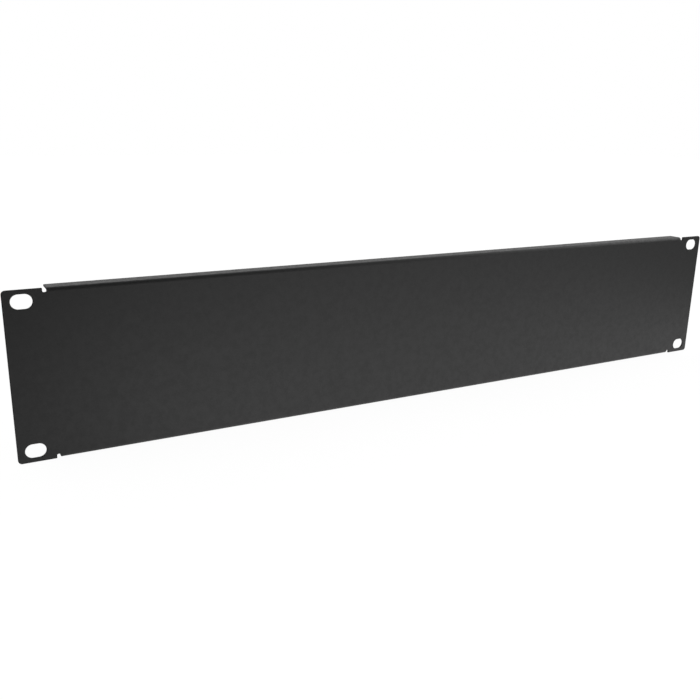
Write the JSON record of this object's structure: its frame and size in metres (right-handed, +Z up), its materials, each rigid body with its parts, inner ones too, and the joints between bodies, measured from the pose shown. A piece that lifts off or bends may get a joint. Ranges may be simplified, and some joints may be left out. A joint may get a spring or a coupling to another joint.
{
  "type": "rack blanking panel",
  "caption": "Flat front panel that closes an empty bay of a 19 inch equipment rack: folded steel sheet with slotted ears and notched fold ends.",
  "frame": {"origin": "centre of the four screw slots, on the rear face of the sheet, which seats on the rack's rails", "axes": "+X to the right seen from the front, +Y into the rack, +Z up"},
  "size_m": [0.4826, 0.01, 0.0882],
  "materials": {
    "black_powder_coat": "fine satin black powder coat on steel sheet"
  },
  "bodies": {
    "root": {"blanking_panel": "black_powder_coat"}
  },
  "joints": []
}
